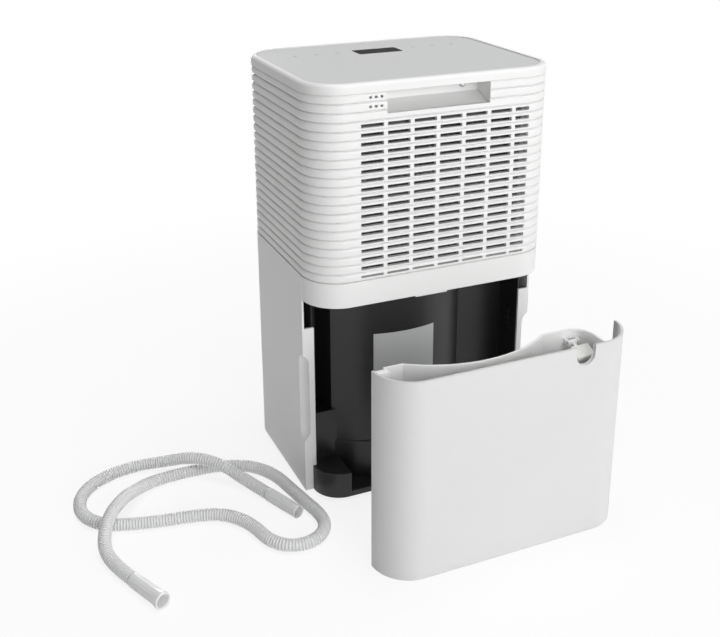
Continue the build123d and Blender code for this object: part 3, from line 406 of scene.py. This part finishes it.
def closed_foam():
    """Closed-cell foam: small round cells in the colour and in the relief."""
    material, root, place = new_material("closed_foam")
    cells = root.node("TexVoronoi", None, {"Vector": place, "Scale": 700.0})
    shade = root.mix(cells, colour(0.84, 0.84, 0.81), colour(0.68, 0.68, 0.65))
    bump = root.node("Bump", None, {"Strength": 0.5, "Distance": 0.0003, "Height": cells})
    shader = root.node("BsdfPrincipled", None, {
        "Base Color": shade, "Roughness": 0.7 + 0.1 * cells, "Normal": bump,
    })
    link_out(root, shader)
    return material


WHITE = (0.86, 0.86, 0.855)
HOUSING = moulded("housing_white", WHITE, rough=0.40, grain=1500.0, depth=0.00006, edge=0.0011)
TANK = moulded("tank_white", (0.70, 0.70, 0.70), rough=0.36, grain=1200.0, depth=0.00005, edge=0.0012)
MILKY = moulded(
    "container_milky", (0.92, 0.92, 0.915), rough=0.32, grain=1200.0, depth=0.00004, edge=0.0008, glow=0.7,
)
PANEL = moulded("panel_grey", (0.65, 0.655, 0.655), rough=0.46, grain=2200.0, depth=0.00008, edge=0.0005)
BAY = moulded(
    "bay_black", (0.017, 0.017, 0.018), rough=0.34, grain=1100.0, depth=0.00010, mottle=0.2, spread=0.14,
)
PLATE = moulded("plate_grey", (0.52, 0.525, 0.53), rough=0.38, grain=900.0, depth=0.00003, edge=0.0002)
RUBBER = moulded("foot_rubber", (0.025, 0.025, 0.025), rough=0.72, grain=900.0, depth=0.0002, mottle=0.2)
DARK = moulded("inner_grey", (0.17, 0.17, 0.18), rough=0.5, grain=1000.0, depth=0.0001, mottle=0.1)
ENAMEL = moulded(
    "compressor_enamel", (0.02, 0.02, 0.02), rough=0.22, grain=400.0, depth=0.0002, coat=0.3, mottle=0.2,
)
INK = moulded("touch_ink", (0.40, 0.405, 0.41), rough=0.5, grain=2200.0, depth=0.00003, edge=0.00005)
DISPLAY = display_glass()
VINYL = hose_vinyl("hose_vinyl", clear=0.30)
CUFF = hose_vinyl("cuff_vinyl", clear=0.25)
SCREEN = moulded(
    "screen_thread", (0.085, 0.085, 0.09), rough=0.6, grain=1500.0, depth=0.00003, edge=0.0001, mottle=0.15,
)
FRAME = two_tone("filter_frame", low=WHITE, high=(0.05, 0.05, 0.052), level=TAB_TOP)
COPPER = metal("drawn_copper", (0.80, 0.45, 0.30), rough=0.22, streak=900.0, stain=0.3)
FINS = metal("fin_aluminium", (0.78, 0.79, 0.80), rough=0.28, streak=700.0, stain=0.15)
STEEL = metal("plain_steel", (0.56, 0.56, 0.57), rough=0.28, streak=900.0, stain=0.2)
BOARD = lacquered_board()
FOAM = closed_foam()

NODES_OF = {
    HOUSING: ["upper_housing", "handle_pocket", "top_rim", "lower_housing"],
    FRAME: ["filter_frame"],
    TANK: ["tank_panel"],
    MILKY: ["tank_container", "float_arm"],
    PANEL: ["top_panel"],
    BAY: ["base_tray", "bay_liner", "tank_switch", "deck", "drain_spout", "cord_gland"],
    PLATE: ["bay_plate"],
    RUBBER: ["rubber_feet", "compressor_mounts"],
    DARK: ["filter_guides", "drip_tray", "fan_scroll", "fan_wheel", "power_box"],
    ENAMEL: ["compressor"],
    DISPLAY: ["display_window"],
    SCREEN: ["filter_mesh"],
    COPPER: ["suction_pipe", "discharge_pipe", "liquid_line"],
    FINS: ["evaporator", "condenser", "capacitor"],
    STEEL: ["fan_motor", "fan_shaft", "mount_bolts", "float_pin"],
    BOARD: ["control_board", "humidity_sensor"],
    FOAM: ["float_block"],
    VINYL: ["drain_hose"],
    CUFF: ["spout_cuff", "outlet_cuff"],
}
for finish, names in NODES_OF.items():
    for name in names:
        for place in nodes[name].material_slots:
            place.material = finish


# Drain hose

def hose_line(count):
    """Evenly spaced points on the hose's centre line, a NURBS curve that the route's points control."""
    curve = bpy.data.curves.new("hose_line", "CURVE")
    curve.dimensions = "3D"
    spline = curve.splines.new("NURBS")
    spline.points.add(len(HOSE_ROUTE) - 1)
    spline.points.foreach_set("co", np.c_[HOSE_ROUTE, np.ones(len(HOSE_ROUTE))].ravel())
    spline.order_u = 3
    spline.use_endpoint_u = True
    spline.resolution_u = 32
    holder = bpy.data.objects.new("hose_line", curve)
    mesh = bpy.data.meshes.new_from_object(holder)
    points = np.empty(3 * len(mesh.vertices))
    mesh.vertices.foreach_get("co", points)
    points = points.reshape(-1, 3)
    bpy.data.objects.remove(holder)
    bpy.data.curves.remove(curve)
    bpy.data.meshes.remove(mesh)
    reach = np.r_[0, np.cumsum(np.linalg.norm(np.diff(points, axis=0), axis=1))]
    even = np.linspace(0, reach[-1], count)
    return np.stack([np.interp(even, reach, points[:, i]) for i in range(3)], -1), even


def hose_surface():
    """Ribbed tube: radius = valley + (crest - valley) * hump to a power that broadens the crests.

    The hump is sin squared of the rib's phase. The outer skin runs from end to end and the bore runs back
    inside it, so the grid closes both ways.
    """
    points, reach = hose_line(HOSE_RIBS * RIB_STEPS + 1)
    length = reach[-1]
    share = np.clip((reach - HOSE_PLAIN) / (length - 2 * HOSE_PLAIN), 0, 1)
    hump = np.sin(np.pi * HOSE_RIBS * share) ** 2
    outer = HOSE_VALLEY + (HOSE_CREST - HOSE_VALLEY) * hump ** RIB_POWER
    skin = turned_rings(points, outer, HOSE_SIDES)
    bore = turned_rings(points, np.full(len(points), HOSE_BORE), HOSE_SIDES)[::-BORE_STEP]
    verts = np.concatenate([skin, bore]).reshape(-1, 3)
    faces = grid_faces(len(skin) + len(bore), HOSE_SIDES, True, True)
    # Painted shade for the vinyl's colour: the hump on the outer skin, so the valleys come out darker, and a
    # half shade all through the bore.
    rib_shading = np.repeat(np.r_[hump, np.full(len(bore), BORE_SHADING)], HOSE_SIDES)
    return verts, faces, rib_shading, points, length


def mark_rib_shading(piece, rib_shading):
    """Stores each point's place between a valley's painted shade and a pale crest, for the vinyl's colour."""
    piece.data.attributes.new("rib_shading", "FLOAT", "POINT").data.foreach_set("value", rib_shading)


verts, faces, rib_shading, hose_points, hose_length = hose_surface()
hose = new_piece("ribbed_hose", verts, faces, VINYL, "cabinet", "hose_plastic")
mark_rib_shading(hose, rib_shading)
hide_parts("drain_hose")


def make_cuff(name, node, joint, inner, profile):
    """Fluted cuff turned about the straight line that carries on from the hose's end run."""
    tip = joint + CUFF_LENGTH * unit(joint - inner)
    verts, faces = revolved(joint, tip, profile, CUFF_SIDES, CUFF_FLUTES, FLUTE_DEPTH)
    cuff = new_piece(name, verts, faces, CUFF, "cabinet", "hose_plastic")
    mark_rib_shading(cuff, np.full(len(verts), CUFF_RIB))
    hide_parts(node)
    return cuff


spout_end = make_cuff("spout_end_cuff", "spout_cuff", HOSE_ROUTE[0], HOSE_ROUTE[1], [
    (0.0, 0.0056, 0), (0.0, 0.0074, 0), (0.02, 0.0077, 0), (0.06, 0.0078, 0), (0.14, 0.0078, 0),
    (0.20, 0.0077, 1), (0.5, 0.0076, 1), (0.85, 0.0075, 1), (0.90, 0.0076, 0), (0.94, 0.0078, 0),
    (0.97, 0.0079, 0), (0.995, 0.0077, 0), (1.0, 0.0074, 0), (1.0, 0.0061, 0), (0.985, 0.0057, 0),
    (0.9, 0.0056, 0), (0.4, 0.0056, 0), (0.04, 0.0056, 0),
])
outlet_end = make_cuff("outlet_end_cuff", "outlet_cuff", HOSE_ROUTE[-1], HOSE_ROUTE[-2], [
    (0.0, 0.0056, 0), (0.0, 0.0074, 0), (0.02, 0.0077, 0), (0.06, 0.0079, 0), (0.14, 0.0079, 0),
    (0.22, 0.0079, 1), (0.6, 0.0080, 1), (0.76, 0.0081, 1), (0.84, 0.0084, 0), (0.90, 0.0089, 0),
    (0.94, 0.0094, 0), (0.97, 0.0095, 0), (0.992, 0.0094, 0), (1.0, 0.0091, 0), (1.0, 0.0075, 0),
    (0.985, 0.0072, 0), (0.94, 0.0069, 0), (0.86, 0.0063, 0), (0.78, 0.0058, 0), (0.6, 0.0056, 0),
    (0.3, 0.0056, 0), (0.04, 0.0056, 0),
])


# Filter screen

def thread_rods(starts, ends, side, up):
    """Closed six-sided rods: each ring is its end + radius * (cos a * side + sin a * up), a once round."""
    a = once_round(THREAD_SIDES)
    ring = THREAD_R * (np.cos(a)[:, None] * side + np.sin(a)[:, None] * up)
    verts = np.stack([starts, ends], 1)[:, :, None, :] + ring
    skin = grid_faces(2, THREAD_SIDES, False, True)
    caps = np.array([(0, 3, 2, 1), (0, 5, 4, 3), (6, 7, 8, 9), (6, 9, 10, 11)])
    faces = np.arange(len(starts))[:, None, None] * 2 * THREAD_SIDES + np.concatenate([skin, caps])
    return verts.reshape(-1, 3), faces.reshape(-1, 4)


def screen_threads():
    """Two panes of straight threads one pitch apart, the level ones outside and the upright ones inside."""
    low, high = (np.array(corner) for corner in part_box("filter_mesh"))
    middle = (low[2] + high[2]) / 2
    panes = [(low[2], middle - SCREEN_BAR / 2), (middle + SCREEN_BAR / 2, high[2])]
    outside = low[1] + THREAD_R
    inside = high[1] - THREAD_R
    along_x, along_y, along_z = np.eye(3)
    sets = []
    for foot, head in panes:
        x = np.arange(low[0] + THREAD_PITCH / 2, high[0], THREAD_PITCH)
        z = np.arange(foot + THREAD_PITCH / 2, head, THREAD_PITCH)
        deep = np.full_like(x, inside)
        shallow = np.full_like(z, outside)
        feet, heads = (np.stack([x, deep, np.full_like(x, h)], -1) for h in (foot, head))
        lefts, rights = (np.stack([np.full_like(z, e), shallow, z], -1) for e in (low[0], high[0]))
        sets.append(thread_rods(feet, heads, along_x, along_y))
        sets.append(thread_rods(lefts, rights, along_y, along_z))
    screen = new_piece("screen_threads", *joined(sets), SCREEN, "filter", "mesh")
    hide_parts("filter_mesh")


screen_threads()


# Small fittings

def touch_marks():
    """Six ink rings on the top panel, three each side of the window, each a low square-edged ring."""
    square = [(0, MARK_INNER), (0, MARK_OUTER), (1, MARK_OUTER), (1, MARK_INNER)]
    rings = []
    for x in MARK_X:
        foot = np.array([x, MARK_Y, PANEL_TOP])
        rings.append(revolved(foot, foot + [0, 0, MARK_RISE], square, MARK_SIDES))
    new_piece("touch_marks", *joined(rings), INK, "cabinet", "grey_plastic", smooth=False)


def screw_head(name, seat, radius, height):
    """Domed head with a round socket, turned about the line from its seat straight down to its crown."""
    profile = [
        (0, 0.3), (0, 1), (0.35, 1), (0.6, 0.95), (0.85, 0.78), (1, 0.5), (1, 0.42), (0.3, 0.38), (0.3, 0.3),
    ]
    profile = [(share, radius * r) for share, r in profile]
    seat = np.array(seat)
    verts, faces = revolved(seat, seat - [0, 0, height], profile, SCREW_SIDES)
    new_piece(name, verts, faces, STEEL, "cabinet", "steel")


touch_marks()
screw_head("handle_screw", seat=(0.027, -0.112, 0.492), radius=0.0036, height=0.0042)
screw_head("band_screw", seat=(-0.1395, -0.082, 0.253), radius=0.0026, height=0.0016)


# Floor, light and camera

def seen_by_eye(root):
    """1 for rays from the camera and for those that it sends on through gloss and clear stuff, else 0."""
    rays = root.node("LightPath")
    straight = root.math("MAXIMUM", rays.beside("Is Camera Ray"), rays.beside("Is Glossy Ray"))
    return root.math("MAXIMUM", straight, rays.beside("Is Transmission Ray"))


def pale_floor():
    """Floor that takes the object's shadow near it and fades to plain white further out.

    A share of it is plain white glow: a little in the light that it throws back on the object, much more
    where the eye sees it, and all of it far out.
    """
    material, root, place = new_material("pale_floor")
    away = root.node("VectorMath", {"operation": "LENGTH"}, {0: place}, out="Value")
    far = root.node("MapRange", None, {"Value": away, "From Min": FADE_START, "From Max": FADE_END})
    seen = seen_by_eye(root)
    shade = root.mix(seen, colour(0.85, 0.85, 0.85), colour(0.97, 0.97, 0.97))
    paint = root.node("BsdfDiffuse", None, {"Color": shade})
    white = root.node("Emission", None, {"Color": colour(1, 1, 1), "Strength": 1.0})
    share = WHITE_THROWN + seen * (WHITE_SEEN + WHITE_FAR * far)
    link_out(root, root.node("MixShader", None, {0: share, 1: paint, 2: white}))
    return material


def make_floor():
    """Flat square sheet that reaches equally far each way."""
    span = np.linspace(-FLOOR_REACH, FLOOR_REACH, FLOOR_LINES)
    x, y = np.meshgrid(span, span, indexing="ij")
    verts = np.stack([x, y, np.full_like(x, FLOOR_LEVEL)], -1).reshape(-1, 3)
    mesh = bpy.data.meshes.new("floor")
    mesh.from_pydata(verts.tolist(), [], grid_faces(FLOOR_LINES, FLOOR_LINES, False, False).tolist())
    mesh.flip_normals()
    mesh.materials.append(pale_floor())
    floor = bpy.data.objects.new("floor", mesh)
    bpy.context.collection.objects.link(floor)


def set_world():
    """Even faint light from all round, which the eye sees as plain white."""
    world = bpy.data.worlds.new("studio")
    bpy.context.scene.world = world
    world.use_nodes = True
    world.node_tree.nodes.clear()
    root = Sock(world.node_tree)
    strength = WORLD_THROWN + WORLD_SEEN * seen_by_eye(root)
    back = root.node("Background", None, {"Color": colour(1, 1, 1), "Strength": strength})
    link_out(root, back, "World")


def softbox(name, place, aim, size, power):
    """Square lamp that faces a point."""
    lamp = bpy.data.lights.new(name, "AREA")
    lamp.shape = "SQUARE"
    lamp.size = size
    lamp.energy = power
    obj = bpy.data.objects.new(name, lamp)
    obj.location = place
    obj.rotation_euler = (Vector(aim) - Vector(place)).to_track_quat("-Z", "Y").to_euler()
    bpy.context.collection.objects.link(obj)


def make_camera():
    """Camera at the photograph's place: forward from yaw and pitch, then turned by the small roll."""
    cy, sy = np.cos(CAMERA_YAW), np.sin(CAMERA_YAW)
    cp, sp = np.cos(CAMERA_PITCH), np.sin(CAMERA_PITCH)
    cr, sr = np.cos(CAMERA_ROLL), np.sin(CAMERA_ROLL)
    forward = np.array([sy * cp, cy * cp, -sp])
    right = np.array([cy, -sy, 0.0])
    up = np.cross(right, forward)
    right, up = cr * right + sr * up, cr * up - sr * right
    camera = bpy.data.cameras.new("camera")
    camera.sensor_width = CAMERA_SENSOR
    camera.lens = CAMERA_LENS
    camera.shift_y = CAMERA_SHIFT
    camera.clip_end = CAMERA_REACH
    obj = bpy.data.objects.new("camera", camera)
    turn = np.eye(4)
    turn[:3] = np.stack([right, up, -forward, CAMERA_PLACE], -1)
    obj.matrix_world = Matrix(turn.tolist())
    bpy.context.collection.objects.link(obj)
    bpy.context.scene.camera = obj


make_floor()
set_world()
softbox("key", place=(1.9, -2.6, 1.1), aim=(0, -0.1, 0.25), size=1.8, power=34.0)
softbox("fill", place=(-0.1, -3.0, 1.0), aim=(0, -0.1, 0.2), size=1.6, power=41.0)
softbox("overhead", place=(0.1, -0.1, 4.6), aim=(0, 0, 0.3), size=2.2, power=105.0)
softbox("behind", place=(0.3, 2.8, 0.3), aim=(0, 0, 0.25), size=0.8, power=40.0)
make_camera()
bpy.context.scene.view_settings.view_transform = "Standard"
